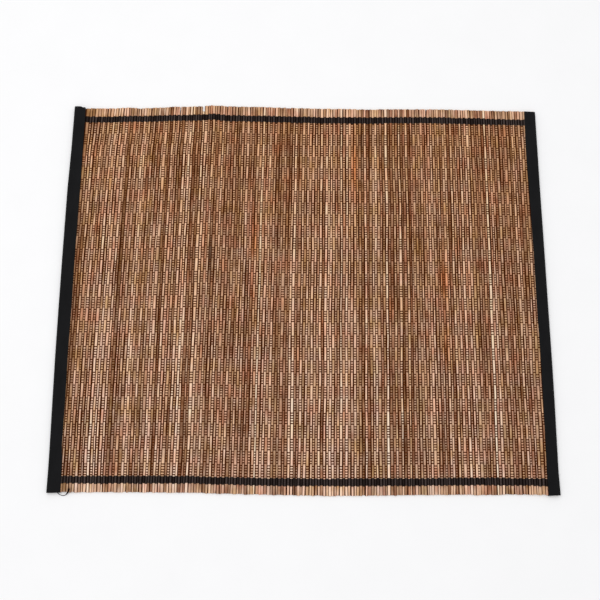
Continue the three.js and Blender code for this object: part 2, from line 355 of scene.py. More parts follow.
def tubes(name, rings):
    """A mesh of closed tubes. rings holds corner p of section s of tube t at [t, s, p]. Each wall
    face joins two neighbouring corners of a section to the same two of the next, and one face
    closes each end. Sections run counter-clockwise seen from the path's far end."""
    count, steps, around = rings.shape[:3]
    corner = np.arange(count * steps * around).reshape(count, steps, around)
    here = corner[:, :-1]
    ahead = corner[:, 1:]
    walls = np.stack([here, np.roll(here, -1, 2), np.roll(ahead, -1, 2), ahead], -1).reshape(-1, 4)
    caps = np.concatenate([corner[:, 0, ::-1], corner[:, -1]])
    mesh = bpy.data.meshes.new(name)
    mesh.vertices.add(corner.size)
    mesh.vertices.foreach_set("co", rings.astype(np.float32).ravel())
    mesh.loops.add(walls.size + caps.size)
    mesh.loops.foreach_set("vertex_index", np.concatenate([walls.ravel(), caps.ravel()]))
    mesh.polygons.add(len(walls) + len(caps))
    starts = [4 * np.arange(len(walls)), walls.size + around * np.arange(len(caps))]
    mesh.polygons.foreach_set("loop_start", np.concatenate(starts))
    smooth = np.arange(len(walls) + len(caps)) < len(walls)
    mesh.polygons.foreach_set("use_smooth", smooth)
    mesh.update(calc_edges=True)
    mesh.validate()
    pieces[name] = new_object(name, mesh)
    triangles = 2 * len(walls) + (around - 2) * len(caps)
    print(name, "has", count, "tubes and", triangles, "triangles")


# %% Numbers and finish of a piece
ROOT = "root"


def mark(name, attribute, values):
    """Writes one number onto each corner of a piece, for its material to read."""
    numbers = pieces[name].data.attributes.new(attribute, "FLOAT", "POINT")
    numbers.data.foreach_set("value", values.astype(np.float32))


def dress(name, material, node):
    """Gives a piece its material, its body and the solid that it stands for."""
    piece = pieces[name]
    piece.data.materials.append(material)
    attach(piece, ROOT)
    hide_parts(node)


# %% [markdown]
# The weave. Between the two black bands lie 29 bands of brown thread with five threads each, all
# evenly spaced. Along one slat the bands take turns: the slat lies over the thread in one band and
# under it in the next, and its neighbours do the opposite. The slat bends a little up and down,
# which makes the brick pattern stand out. A bump pattern could show the bricks, but real threads
# and bent slats also look right from the side.

# %% Rows of the weave
BROWN_BANDS = 29
THREADS_PER_BAND = 5
BLACK_BAND_HALF = 3.2 * MM
SLAT_BEND = 0.14 * MM
ROW_WANDER = 0.5 * MM
RIPPLE = 27 * MM
RIPPLE_TURN = 4
SWELL = 95 * MM
SWELL_TURN = 9


def woven_y(x, share):
    """Y at a share from 0 to 1 of the way from the back black band to the front one. The rows
    wander by the product of two slow sine waves and four times share times the rest, which is 0 at
    the black bands and 1 half way."""
    back = band_back(x) - BLACK_BAND_HALF
    front = band_front(x) + BLACK_BAND_HALF
    wave = np.sin(x / RIPPLE + RIPPLE_TURN * share) * np.sin(SWELL_TURN * share - x / SWELL)
    return back + share * (front - back) + ROW_WANDER * wave * 4 * share * (1 - share)


def is_up(slat, band):
    """True where a slat lies over a brown band's threads: where their numbers add to an odd one."""
    return (slat + band) % 2 == 1


print("brown threads:", BROWN_BANDS * THREADS_PER_BAND)

# %% [markdown]
# Split bamboo is about 2 mm wide and 1 mm thick, with softly rounded edges. A slat is a little
# narrower on its upper face, so that a groove runs between two slats but no light comes through.
# In the fringe, where no thread parts them, the slats lie closer together. A slat could be a box
# with a Bevel modifier, but a formula gives its whole section at once: a rounded box is the points
# of a circle with their sine and cosine raised to a power below one, which pushes them out towards
# the corners. Three sections in every brown band let the slat bend up, run level and bend down
# again, and at both tips the section shrinks a little, as a worn edge does. One slat is broken off
# short behind the black band.

# %% Stations along the slats
BAND_STATIONS = np.array([0.1, 0.5, 0.9])
TIP_WEAR = 0.25 * MM
FRINGE_STEPS = (0.5, 0.96)
INNER_STEP = 0.9
BROKEN_SLAT_X = -101.9 * MM
BROKEN_LENGTH = 6.6 * MM

broken = np.argmin(np.abs(centre - BROKEN_SLAT_X))
tip_back[broken] = band_back(centre[broken]) + BROKEN_LENGTH
slat = np.arange(SLAT_COUNT)[:, None]
x_middle = centre[:, None]
band_number = np.repeat(np.arange(BROWN_BANDS), len(BAND_STATIONS))[None, :]
woven_share = ((np.arange(BROWN_BANDS)[:, None] + BAND_STATIONS) / BROWN_BANDS).reshape(1, -1)
woven_rows = woven_y(x_middle, woven_share)
woven_bend = np.where(is_up(slat, band_number), SLAT_BEND, -SLAT_BEND)


def end_rows(tip, band_line, outward):
    """Y of the stations from a slat's tip to the inner side of the black band, for every slat."""
    tip = tip[:, None]
    band = band_line(x_middle)
    outer = band + outward * BLACK_BAND_HALF
    inner = band - outward * INNER_STEP * BLACK_BAND_HALF
    fringe = [tip + (outer - tip) * share for share in FRINGE_STEPS]
    return np.concatenate([tip, tip - outward * TIP_WEAR, *fringe, band, inner], 1)


back_rows = end_rows(tip_back, band_back, 1)
front_rows = end_rows(tip_front, band_front, -1)[:, ::-1]
slat_y = np.concatenate([back_rows, woven_rows, front_rows], 1)
flat_part = np.zeros_like(back_rows)
slat_bend = np.concatenate([flat_part, woven_bend, flat_part], 1)
print("stations along each slat:", slat_y.shape[1])

# %% [markdown]
# Where two slats meet is a seam. Slats placed one by one would leave gaps, so the seams are placed
# and the slats fill the room between them. The seams start from the plan. Each one strays a little
# by itself, and a slower drift moves whole groups of neighbours together. As a whole they run a
# little askew between the tapes, which hold the outermost ones straight, and on the left they bow.
# At a few places in the fringe two neighbours lean apart, and at others a groove is deep.

# %% Seams between slats
OVERLAP = 0.28 * MM
SEAM_WANDER = {"knots": (SLAT_COUNT, 2), "reach": 0.56 * MM}
SEAM_BEND = {"knots": (SLAT_COUNT, 28), "reach": 0.2 * MM}
GROUP_SWAY = {"knots": (26, 7), "reach": 0.4 * MM}
SKEW = 0.009
LEFT_BOW = 1.9 * MM
BOW_FROM_X = -90 * MM
BOW_RUN = 90 * MM
CORNER_LEAN = 0.8 * MM
CORNER_FROM_X = -60 * MM
CORNER_RUN_X = 60 * MM
CORNER_FROM_Y = 135 * MM
CORNER_RUN_Y = 25 * MM
HELD_RUN = 16 * MM

seam_grid = (SLAT_COUNT + 1, slat_y.shape[1])
seam_y = np.concatenate([slat_y[:1], (slat_y[:-1] + slat_y[1:]) / 2, slat_y[-1:]])
side_x = sides[:, None]
seam = side_x
for unevenness in (SEAM_WANDER, SEAM_BEND, GROUP_SWAY):
    seam = seam + drift(seam_grid, **unevenness)
bowed = LEFT_BOW * (seam_y / field_high.y) ** 2 * ease((BOW_FROM_X - side_x) / BOW_RUN)
in_corner = ease((CORNER_FROM_X - side_x) / CORNER_RUN_X)
in_corner = in_corner * ease((seam_y - CORNER_FROM_Y) / CORNER_RUN_Y)
leaned = SKEW * seam_y + bowed + CORNER_LEAN * in_corner
seam = seam + leaned * ease((field_high.x - np.abs(side_x)) / HELD_RUN)
print("seams:", len(seam))

# %% Parted tips and deep grooves
PARTED_TIPS = columns(
    "x_mm width_mm",
    (-121.9, 1.2),
    (-76.2, 0.5),
    (-20.0, 0.5),
    (118.0, 0.6),
)
PARTED_SHARES = np.array([1, 0.95, 0.45, 0])
OPEN_GROOVE = 0.26 * MM
GROOVE_DRIFT = {"knots": (SLAT_COUNT, 11), "source": np.random.default_rng(31)}
OPEN_FROM = 0.25
OPEN_FULLY = 0.875
DEEP_GROOVES = columns(
    "x_mm length_mm width_mm",
    (-100.9, 40, 0.35),
    (-57.2, 60, 0.3),
    (-8.3, 90, 0.5),
    (53.0, 60, 0.5),
    (95.1, 40, 0.35),
)
DEEP_PART = 0.2


def nearest_seam(x_mm, station):
    """Number of the seam that comes nearest to a place in millimetres at one of its stations."""
    return np.argmin(np.abs(seam[:, station] - x_mm * MM))


parted = np.zeros(seam_grid)
for x_mm, width_mm in zip(*PARTED_TIPS.values()):
    parted[nearest_seam(x_mm, 0), :len(PARTED_SHARES)] = width_mm * MM * PARTED_SHARES
groove_depth = drift(seam_grid, **GROOVE_DRIFT)
grooved = OPEN_GROOVE * ease((groove_depth - OPEN_FROM) / (OPEN_FULLY - OPEN_FROM))
for x_mm, length_mm, width_mm in zip(*DEEP_GROOVES.values()):
    n = nearest_seam(x_mm, -1)
    from_tip = seam_y[n] - seam_y[n, -1]
    deep = width_mm * MM * ease(1 + DEEP_PART - from_tip / (length_mm * MM))
    grooved[n] = np.maximum(grooved[n], deep)
print("parted tips:", len(PARTED_TIPS["x_mm"]), "deep grooves:", len(DEEP_GROOVES["x_mm"]))

# %% Slats
SLAT_PIECES = ("slats_left", "slats_right")
SLAT_SIDES = 8
SLAT_THICKNESS = 1.0 * MM
RAISED_TOP_SHARE = 0.63
SUNKEN_TOP_SHARE = 0.72
FRINGE_TOP_SHARE = 0.75
WORN_TIP = 0.82
THICKNESS_DRIFT = {"knots": (SLAT_COUNT - 1, 6), "reach": 0.1}
TWIST = {"knots": (SLAT_COUNT - 1, 5), "reach": math.radians(7)}
SHAPE_POWER = 0.62
SECTION_ANGLE = (np.arange(SLAT_SIDES) + 0.5) * 2 * math.pi / SLAT_SIDES


def slat_rings(x, y, z, half_width, half_height, roll, top_share, grooves):
    """Sections of the slats at [slat, station, corner]. A corner lies sideways by half_width times
    the rounded cosine of its angle and up by half_height times the rounded sine, turned by the
    slat's own roll. The upper corners lie at top_share of that width, less the width of a deep
    groove on their side. grooves holds those widths for the left and the right side."""
    cosine = np.cos(SECTION_ANGLE)
    sine = np.sin(SECTION_ANGLE)
    wide = np.sign(cosine) * np.abs(cosine) ** SHAPE_POWER
    high = np.sign(sine) * np.abs(sine) ** SHAPE_POWER
    groove = np.where(wide > 0, grooves[1][..., None], grooves[0][..., None])
    upper = top_share[..., None] - groove / half_width[..., None]
    across = half_width[..., None] * wide * np.where(high > 0, upper, 1)
    up = half_height[..., None] * high
    turned = roll[..., None]
    points_x = x[..., None] + across * np.cos(turned) - up * np.sin(turned)
    points_z = z[..., None] + across * np.sin(turned) + up * np.cos(turned)
    points_y = np.broadcast_to(y[..., None], points_x.shape)
    return np.stack([points_x, points_y, points_z], -1)


left_side = seam[:-1] + (parted[:-1] - OVERLAP) / 2
right_side = seam[1:] - (parted[1:] - OVERLAP) / 2
slat_x = (left_side + right_side) / 2
slat_half = (right_side - left_side) / 2
slat_z = sheet_height(x_middle) + slat_bend
top_share = np.where(slat_bend > 0, RAISED_TOP_SHARE, SUNKEN_TOP_SHARE)
top_share = np.where(slat_bend == 0, FRINGE_TOP_SHARE, top_share)
worn = np.ones(slat_y.shape)
worn[:, [0, -1]] = WORN_TIP
slat_tall = SLAT_THICKNESS / 2 * (1 + drift(slat_y.shape, **THICKNESS_DRIFT))
slat_roll = drift(slat_y.shape, **TWIST)
rings = slat_rings(slat_x, slat_y, slat_z, slat_half * worn, slat_tall * worn, slat_roll, top_share,
                   (grooved[:-1], grooved[1:]))
for name, part in zip(SLAT_PIECES, np.split(rings, 2)):
    tubes(name, part)

# %% [markdown]
# A brown thread is thin and soft. It passes over a low slat and under a high one, and dips through
# the narrow gap between them. A smooth curve would need many sections, but two on each slat, one at
# each of its shoulders, are enough: from slat to slat the thread then runs straight. Its section is
# a little flattened where it presses on the bamboo, and it always stands square to its path.

# %% Thread sections


def thread_rings(x, y, z, half_width, half_height, sides):
    """Sections of threads that run along X, at [thread, station, corner]. A corner lies along Y by
    the cosine of its angle, and square to the path's slope by the sine."""
    slope_x = np.gradient(x, axis=1)
    slope_z = np.gradient(z, axis=1)
    length = np.hypot(slope_x, slope_z)
    angle = np.arange(sides) * 2 * math.pi / sides
    across = half_width[..., None] * np.cos(angle)
    up = half_height[..., None] * np.sin(angle)
    points_x = x[..., None] - up * (slope_z / length)[..., None]
    points_z = z[..., None] + up * (slope_x / length)[..., None]
    return np.stack([points_x, y[..., None] + across, points_z], -1)


def at_slats(values, y):
    """A slat's value at the Y where each thread crosses it, straight between its stations."""
    rows = [np.interp(-y[:, n], -slat_y[n], values[n]) for n in range(SLAT_COUNT)]
    return np.stack(rows, 1)


def stations_x(x, half, places):
    """X of the stations that a thread has on each slat, side by side along the thread. places
    counts them in half widths from the slat's middle."""
    return (x[..., None] + np.array(places) * half[..., None]).reshape(len(x), -1)


# %% Brown threads
THREAD_PIECES = ("threads_back", "threads_middle", "threads_front")
THREAD_SIDES = 4
THREAD_WIDTH = 0.98 * MM
THREAD_HEIGHT = 0.36 * MM
THREAD_COUNT = BROWN_BANDS * THREADS_PER_BAND
SHOULDERS = (-0.6, 0.6)
PRESSED = 0.93
THREAD_WANDER = {"knots": (THREAD_COUNT - 1, 45), "reach": 0.14 * MM}
THREAD_SWELL = {"knots": (THREAD_COUNT - 1, 60), "reach": 0.12}

thread = np.arange(THREAD_COUNT)[:, None]
thread_y = woven_y(centre[None, :], (thread + 0.5) / THREAD_COUNT)
thread_y = thread_y + drift(thread_y.shape, **THREAD_WANDER)
over = ~is_up(np.arange(SLAT_COUNT)[None, :], thread // THREADS_PER_BAND)
reach = at_slats(slat_tall, thread_y) * PRESSED + THREAD_HEIGHT / 2
cross_z = at_slats(slat_z, thread_y) + np.where(over, reach, -reach)
path_x = stations_x(at_slats(slat_x, thread_y), at_slats(slat_half, thread_y), SHOULDERS)
path_y = np.repeat(thread_y, len(SHOULDERS), 1)
path_z = np.repeat(cross_z, len(SHOULDERS), 1)
wide = THREAD_WIDTH / 2 * (1 + drift(path_x.shape, **THREAD_SWELL))
tall = np.full(path_x.shape, THREAD_HEIGHT / 2)
rings = thread_rings(path_x, path_y, path_z, wide, tall, THREAD_SIDES)
for name, part in zip(THREAD_PIECES, np.array_split(rings, 3)):
    tubes(name, part)

# %% [markdown]
# In a black band ten threads are beaten together so tightly that no bamboo shows. At each slat
# every second thread lies on top, and there it spreads out and covers its neighbours below. On the
# next slat they change places. So from above the band is a row of small ridges, one for each slat,
# and its edge steps in and out at every second slat. One ribbed strip could stand for it, but with
# straight edges.

# %% Black bands
BAND_PIECES = ("black_threads_back", "black_threads_front")
BLACK_THREADS = 10
BLACK_SIDES = 6
BLACK_PITCH = 0.62 * MM
BLACK_TOP_WIDTH = 1.5 * MM
BLACK_UNDER_WIDTH = 1.1 * MM
BLACK_HEIGHT = 0.5 * MM
BLACK_PRESSED = 0.9
RIDGE_PLACES = (-0.6, 0, 0.6)
RIDGE_ARCH = 0.22 * MM * np.array([0, 1, 0])
BLACK_LIFT = {"knots": (BLACK_THREADS - 1, 90), "reach": 0.05 * MM}
BLACK_WANDER = {"knots": (1, 40), "reach": 0.3 * MM}
BLACK_SWELL = {"knots": (BLACK_THREADS - 1, 120), "reach": 0.08}
FAINTEST_CREST_HIGHLIGHT = 0.2


def black_band(name, line):
    """Packed threads along a band's middle line, with a number for each crest's painted highlight."""
    number = np.arange(BLACK_THREADS)[:, None]
    y = line(centre) + (number - (BLACK_THREADS - 1) / 2) * BLACK_PITCH
    top = (number + np.arange(SLAT_COUNT)) % 2 == 0
    high = at_slats(slat_tall, y) + BLACK_HEIGHT / 2 * BLACK_PRESSED
    z = at_slats(slat_z, y) + np.where(top, high, -high)
    z = z + drift(z.shape, **BLACK_LIFT) * top
    path_x = stations_x(at_slats(slat_x, y), at_slats(slat_half, y), RIDGE_PLACES)
    path_y = np.repeat(y + drift(y.shape, **BLACK_WANDER), len(RIDGE_PLACES), 1)
    path_z = (z[..., None] + top[..., None] * RIDGE_ARCH).reshape(path_x.shape)
    wide = np.repeat(np.where(top, BLACK_TOP_WIDTH, BLACK_UNDER_WIDTH), len(RIDGE_PLACES), 1) / 2
    wide = wide * (1 + drift(wide.shape, **BLACK_SWELL))
    tall = np.full(wide.shape, BLACK_HEIGHT / 2)
    tubes(name, thread_rings(path_x, path_y, path_z, wide, tall, BLACK_SIDES))
    crest_highlight = np.zeros((*y.shape, len(RIDGE_PLACES)))
    crest_highlight[..., 1] = rng.uniform(FAINTEST_CREST_HIGHLIGHT, 1, SLAT_COUNT)
    mark(name, "crest_highlight", np.repeat(crest_highlight.ravel(), BLACK_SIDES))


for name, line in zip(BAND_PIECES, (band_back, band_front)):
    black_band(name, line)

# %% [markdown]
# The cotton tape is a strip of cloth folded in half around the side of the mat, a flat C in section.
# It could be a bent sheet with a Solidify modifier, but a closed profile carried along the side
# gives full control of the cut edges. The profile is a middle line with a thickness: it runs
# outward over the slats, half round the fold and back underneath, and thins to a rounded edge at
# both ends.

# %% Profile of the tape
EDGE_SHARES = (0, 0.012, 0.03, 0.06)
FACE_SHARES = np.linspace(0.12, 1, 14)
FOLD_STEPS = 9
ROUND_SHARE = 0.04
BLUNT_EDGE = 0.08


def tape_profile():
    """The middle line of the folded cloth as rows of share, outward, height and part. share is 0
    at the inner edge and 1 where the fold starts, outward is how far out round the fold it lies,
    from 0 to 1, and height is from -1 under the mat to 1 above it. part is the part of the cloth's
    full thickness, along a quarter circle from the cut edge, its square at least BLUNT_EDGE."""
    face = np.concatenate([EDGE_SHARES, FACE_SHARES])
    zeros = np.zeros_like(face)
    angle = np.linspace(math.pi / 2, -math.pi / 2, FOLD_STEPS + 2)[1:-1]
    share = np.concatenate([face, np.ones(FOLD_STEPS), face[::-1]])
    outward = np.concatenate([zeros, np.cos(angle), zeros])
    height = np.concatenate([zeros + 1, np.sin(angle), zeros - 1])
    depth = np.clip(share / ROUND_SHARE, 0, 1)
    part = np.sqrt(np.maximum(1 - (1 - depth) ** 2, BLUNT_EDGE))
    return share, outward, height, part


print("corners in the tape's section:", 2 * len(tape_profile()[0]))

# %% Folded tapes
TAPE_ROWS = 240
FOLD_DEPTH = 1.5 * MM
TOP_DIP = 0.16 * MM
DIP_DRIFT = {"knots": (40, 3), "reach": 0.5}
CUT_ROWS = 3
BACK_CUT_LEFT = columns(
    "share rise_mm",
    (0.0, -0.5),
    (0.12, 0.1),
    (0.25, -0.5),
    (0.5, 0.4),
    (0.8, 0.3),
    (1.0, 0.0),
)
BACK_CUT_RIGHT = columns("share rise_mm", (0.0, 0.0), (1.0, 0.0))


def folded_tape(name, inner, outer, inward, back_cut):
    """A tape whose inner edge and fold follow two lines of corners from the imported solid. inward is
    1 where the mat lies towards +X of the fold, and else -1. back_cut says how far the cut end at
    the back rises past a straight line, from the inner edge to the fold."""
    share, outward, height, part = tape_profile()
    row = np.linspace(1, 0, TAPE_ROWS)
    inner_y = inner[0, 1] + row * (inner[-1, 1] - inner[0, 1])
    outer_y = outer[0, 1] + row * (outer[-1, 1] - outer[0, 1])
    inner_x = np.interp(inner_y, inner[:, 1], inner[:, 0])
    outer_x = np.interp(outer_y, outer[:, 1], outer[:, 0])
    half = TAPE_CLOTH / 2
    fold_x = outer_x + inward * (FOLD_DEPTH + half)
    x = inner_x[:, None] + share * (fold_x - inner_x)[:, None] - inward * outward * FOLD_DEPTH
    y = inner_y[:, None] + np.maximum(share, outward) * (outer_y - inner_y)[:, None]
    rise = MM * np.interp(share, back_cut["share"], back_cut["rise_mm"])
    y = y + rise * ease(1 - (1 - row[:, None]) * TAPE_ROWS / CUT_ROWS)
    sag = TOP_DIP * (1 - share) * (height > 0) * (1 + drift(x.shape, **DIP_DRIFT))
    z = tape_top / 2 + (tape_top - TAPE_CLOTH) / 2 * height - sag
    step_x = np.gradient(x, axis=1)
    step_z = np.gradient(z, axis=1)
    length = np.hypot(step_x, step_z)
    out_x = step_z / length * inward * half * part
    out_z = -step_x / length * inward * half * part
    ring_x = np.concatenate([x + out_x, (x - out_x)[:, ::-1]], 1)
    ring_y = np.concatenate([y, y[:, ::-1]], 1)
    ring_z = np.concatenate([z + out_z, (z - out_z)[:, ::-1]], 1)
    rings = np.stack([ring_x, ring_y, ring_z], -1)[None]
    tubes(name, rings if inward > 0 else rings[:, :, ::-1])


folded_tape("tape_left", tape_left_edges[1], tape_left_edges[0], 1, BACK_CUT_LEFT)
folded_tape("tape_right", tape_right_edges[0], tape_right_edges[1], -1, BACK_CUT_RIGHT)

# %% [markdown]
# At the near left corner one end of black sewing thread has come loose. It leaves the tape, bows
# out in front of the slats and comes back up over their tips. A simulated thread would fall where
# it likes, so its route is a few given points, joined by a smooth curve, with a round section
# carried along it. Its twist opens at both ends and makes it thicker there.

# %% Loose thread end
TAIL_POINTS_MM = np.array([
    [-216.2, -182.4, 1.2],
    [-215.6, -184.2, 0.8],
    [-213.4, -186.2, 0.45],
    [-210.4, -187.3, 0.4],
    [-207.8, -186.7, 0.7],
    [-206.0, -184.9, 1.9],
    [-205.1, -183.0, 2.5],
    [-204.7, -181.4, 2.6],
])
TAIL_STEPS = 60
TAIL_SIDES = 6
TAIL_DIAMETER = 0.48 * MM
TAIL_END_DIAMETER = 1.4 * MM
FRAY_TO = 0.22
FRAY_FROM = 0.55
FRAY_RUN = 0.2


def smooth_path(points, steps):
    """A curve through all points: between two, a cubic whose slope at each end is half the step
    between the points on both sides."""
    place = np.linspace(0, len(points) - 1, steps)
    low = np.minimum(place.astype(int), len(points) - 2)
    t = (place - low)[:, None]
    slope = np.gradient(points, axis=0)
    a, b = points[low], points[low + 1]
    return ((2 * t**3 - 3 * t**2 + 1) * a + (t**3 - 2 * t**2 + t) * slope[low]
            + (3 * t**2 - 2 * t**3) * b + (t**3 - t**2) * slope[low + 1])


def round_rings(path, radius, sides):
    """Circles square to a path: their side direction is level, and the other is square to it and to
    the path. radius holds one radius for each point."""
    forward = np.gradient(path, axis=0)
    forward /= np.linalg.norm(forward, axis=1, keepdims=True)
    side = np.cross([0, 0, 1], forward)
    side /= np.linalg.norm(side, axis=1, keepdims=True)
    up = np.cross(forward, side)
    angle = np.arange(sides) * 2 * math.pi / sides
    cosine = np.cos(angle)[None, :, None]
    sine = np.sin(angle)[None, :, None]
    return path[:, None] + radius[:, None, None] * (cosine * side[:, None] + sine * up[:, None])


tail_path = smooth_path(TAIL_POINTS_MM * MM, TAIL_STEPS)
tail_share = np.linspace(0, 1, TAIL_STEPS)
frayed = np.maximum(ease(1 - tail_share / FRAY_TO), ease((tail_share - FRAY_FROM) / FRAY_RUN))
tail_radius = (TAIL_DIAMETER + (TAIL_END_DIAMETER - TAIL_DIAMETER) * frayed) / 2
tubes("thread_tail", round_rings(tail_path, tail_radius, TAIL_SIDES)[None])

# %% [markdown]
# Bamboo finish. The slats are split bamboo, browned by heat before weaving, so no two have the same
# colour: straw, honey, reddish and dark brown lie side by side, and each drifts along its length.
# Each slat could have a material of its own, but one that reads numbers from the mesh does for all:
# each slat carries three, for its tone, its hue and the start of its grain, and the sides of each
# groove carry how dark it is.

# %% Tone of each slat
TONE_MIDDLE = 0.468
TONE_SPREAD = 0.192
BROAD_STREAKS = columns(
    "x_mm width_mm tone",
    (-186, 10, 0.06),
    (-178, 6, 0.06),
    (-154, 5, 0.06),
    (-120, 5, -0.09),
    (-85, 5, 0.08),
    (-63, 6, -0.2),
    (-50, 5, -0.06),
    (-40, 7, 0.05),
    (-17, 7, -0.27),
    (5, 4, -0.06),
    (20, 26, 0.1),
    (40, 7, -0.2),
    (55, 3, 0.1),
    (65, 4, -0.07),
    (84, 6, -0.2),
    (109, 6, -0.1),
    (135, 4, -0.18),
    (147, 4, 0.09),
    (165, 4, -0.17),
    (175, 3, 0.09),
    (185, 4, -0.12),
    (198, 3, 0.14),
)
SINGLE_SLATS = columns(
    "x_mm tone",
    (-184.8, 0.72),
    (-171.2, 0.2),
    (-146.8, 0.24),
    (-139.8, 0.7),
    (-134.8, 0.3),
    (-114.0, 0.86),
    (-87.2, 0.26),
    (-53.8, 0.22),
    (-25.0, 0.26),
    (-9.5, 0.75),
    (17.5, 0.24),
    (64.2, 0.6),
    (167.0, 0.28),
    (176.8, 0.7),
    (191.5, 0.32),
)
SHADE_LEFT = 0.7
SHADE_RIGHT = 0.12
SHADE_RUN = 3.0 * MM

centre_mm = centre[:, None] / MM
bells = np.exp(-(((centre_mm - BROAD_STREAKS["x_mm"]) / BROAD_STREAKS["width_mm"]) ** 2))
slat_tone = rng.normal(TONE_MIDDLE, TONE_SPREAD, SLAT_COUNT) + bells @ BROAD_STREAKS["tone"]
nearest = np.argmin(np.abs(centre_mm - SINGLE_SLATS["x_mm"]), 0)
slat_tone[nearest] = SINGLE_SLATS["tone"]
# Painted shadow: the tone of the slats next to each tape is lowered, strongly on the left and faintly
# on the right, for the shade of the tape's raised edge.
from_tape = np.minimum(centre - inner_left, inner_right - centre)
tape_shade_depth = np.where(centre < 0, SHADE_LEFT, SHADE_RIGHT)
slat_tone = slat_tone - tape_shade_depth * np.exp(-((from_tape / SHADE_RUN) ** 2))
slat_tone = np.clip(slat_tone, 0, 1)
print("mean tone:", round(slat_tone.mean(), 2))

# %% Numbers on the slats
SEED_RANGE = 100
FRINGE_GROOVE = 0.9
GROOVE_MIDDLE = 0.84
GROOVE_SPREAD = 0.3
SIDE_COSINE = 0.7

slat_hue = rng.uniform(0, 1, SLAT_COUNT)
slat_seed = rng.uniform(0, SEED_RANGE, SLAT_COUNT)
groove_shade = GROOVE_MIDDLE + GROOVE_SPREAD * groove_depth
groove_shade = np.where(slat_bend[0] == 0, FRINGE_GROOVE, 1) * groove_shade


def mark_slats(name, first, last):
    """Marks a piece that holds the slats from first up to last. A slat's tone, hue and seed go onto
    all of its corners, and how dark a groove is goes onto those beside it, where the cosine of the
    section's angle is largest."""
    values = np.stack([slat_tone, slat_hue, slat_seed], 1)[first:last]
    mesh = pieces[name].data
    numbers = mesh.attributes.new("slat_numbers", "FLOAT_VECTOR", "POINT")
    values = np.repeat(values, len(mesh.vertices) // (last - first), 0)
    numbers.data.foreach_set("vector", values.astype(np.float32).ravel())
    left = groove_shade[first:last, :, None] * (np.cos(SECTION_ANGLE) < -SIDE_COSINE)
    right = groove_shade[first + 1:last + 1, :, None] * (np.cos(SECTION_ANGLE) > SIDE_COSINE)
    mark(name, "groove", (left + right).ravel())


mark_slats("slats_left", 0, SLAT_COUNT // 2)
mark_slats("slats_right", SLAT_COUNT // 2, SLAT_COUNT)
print("grooves darkened by", round(groove_shade.min(), 2), "to", round(groove_shade.max(), 2))

# %% [markdown]
# Here and there a slat has a dark stain, where the cane was bruised or its skin was scorched, and a
# few small areas are warmer, nearly orange. Some areas a few slats wide are lighter or darker as a
# whole. Noise alone would put them anywhere, so each is a bell curve across the mat and along it,
# placed where the real mat has one, and the corners of the slats carry its strength.

# %% Stains
STAIN_COLUMNS = "x_mm y_mm width_mm length_mm depth"
DARK_STAINS = columns(
    STAIN_COLUMNS,
    (-172.0, 10, 1.5, 70, 0.3),
    (-170.5, -148, 1.6, 28, 0.5),
    (-147.0, -117, 1.5, 20, 0.4),
    (-136.5, 34, 1.5, 24, 0.35),
    (-88.5, 36, 1.5, 30, 0.85),
    (-88.0, -115, 1.5, 22, 0.45),
    (-55.5, -30, 1.6, 40, 0.4),
    (-27.0, 52, 3.5, 12, 0.45),
    (16.5, -85, 1.5, 24, 0.4),
    (55.0, 141, 1.6, 20, 0.6),
    (89.4, -135, 1.8, 18, 0.5),
    (124.7, -135, 1.3, 24, 0.6),
)
WARM_STAINS = columns(
    STAIN_COLUMNS,
    (-113.5, 20, 2.0, 25, 0.5),
    (-47.5, -8, 2.0, 12, 0.6),
    (-47.0, 50, 3.0, 20, 0.8),
    (16.0, -33, 2.5, 18, 0.5),
    (47.5, 122, 3.0, 32, 0.9),
    (79.5, -13, 2.5, 16, 0.6),
    (130.0, -50, 4.0, 22, 0.6),
    (130.0, 10, 5.0, 30, 0.7),
)
TONE_PATCHES = columns(
    STAIN_COLUMNS,
    (-211.5, -140, 2.5, 35, 0.3),
    (-209, 105, 4, 55, 0.3),
    (-207.5, 135, 2, 40, 0.5),
    (-191, 115, 4, 30, -0.18),
    (-190, -24, 4, 30, -0.2),
    (-184, -140, 5, 35, 0.15),
    (-164, -137, 4, 30, -0.22),
    (-139, 154, 4, 25, -0.2),
    (-136, 50, 4, 30, -0.18),
    (-122, 103, 4, 25, -0.22),
    (-121, -128, 4, 35, -0.2),
    (-118, -30, 3.5, 40, -0.2),
    (-73, -140, 5, 35, 0.14),
    (-57, -125, 4, 45, -0.2),
    (-50, 20, 4, 26, 0.25),
    (-38, -127, 4, 25, 0.18),
    (-38, 82, 4, 30, -0.2),
    (-37, 150, 4, 25, -0.2),
    (-10, -119, 5, 25, 0.18),
    (40, -126, 5, 30, -0.2),
    (78, -125, 5, 20, 0.16),
    (79, -18, 4, 22, 0.18),
    (91, -33, 4, 25, -0.2),
    (111, 50, 4, 45, -0.2),
    (123, -138, 5, 25, -0.18),
    (139, -164, 4, 20, -0.2),
    (143, 152, 5, 25, -0.22),
    (151, -46, 4, 25, -0.16),
    (167, -118, 7, 25, 0.14),
    (203, -125, 4, 25, -0.2),
    (206, -35, 3, 25, -0.2),
    (208, 40, 2.5, 45, -0.4),
    (208.5, -110, 1.5, 35, -0.3),
)
STAINS = {"dark_stain": DARK_STAINS, "warm_stain": WARM_STAINS, "tone_patch": TONE_PATCHES}


def stain_depth(points_mm, stains):
    """Sum of the stains' bell curves at each point, kept between -1 and 1. A bell curve is e to
    the power of minus the squared distance, counted in widths across and in lengths along."""
    across = (points_mm[:, :1] - stains["x_mm"]) / stains["width_mm"]
    along = (points_mm[:, 1:2] - stains["y_mm"]) / stains["length_mm"]
    return np.clip(np.exp(-across**2 - along**2) @ stains["depth"], -1, 1)


for name in SLAT_PIECES:
    points_mm = corners(pieces[name].data) / MM
    for attribute, stains in STAINS.items():
        mark(name, attribute, stain_depth(points_mm, stains))
print("stains:", {attribute: len(stains["depth"]) for attribute, stains in STAINS.items()})

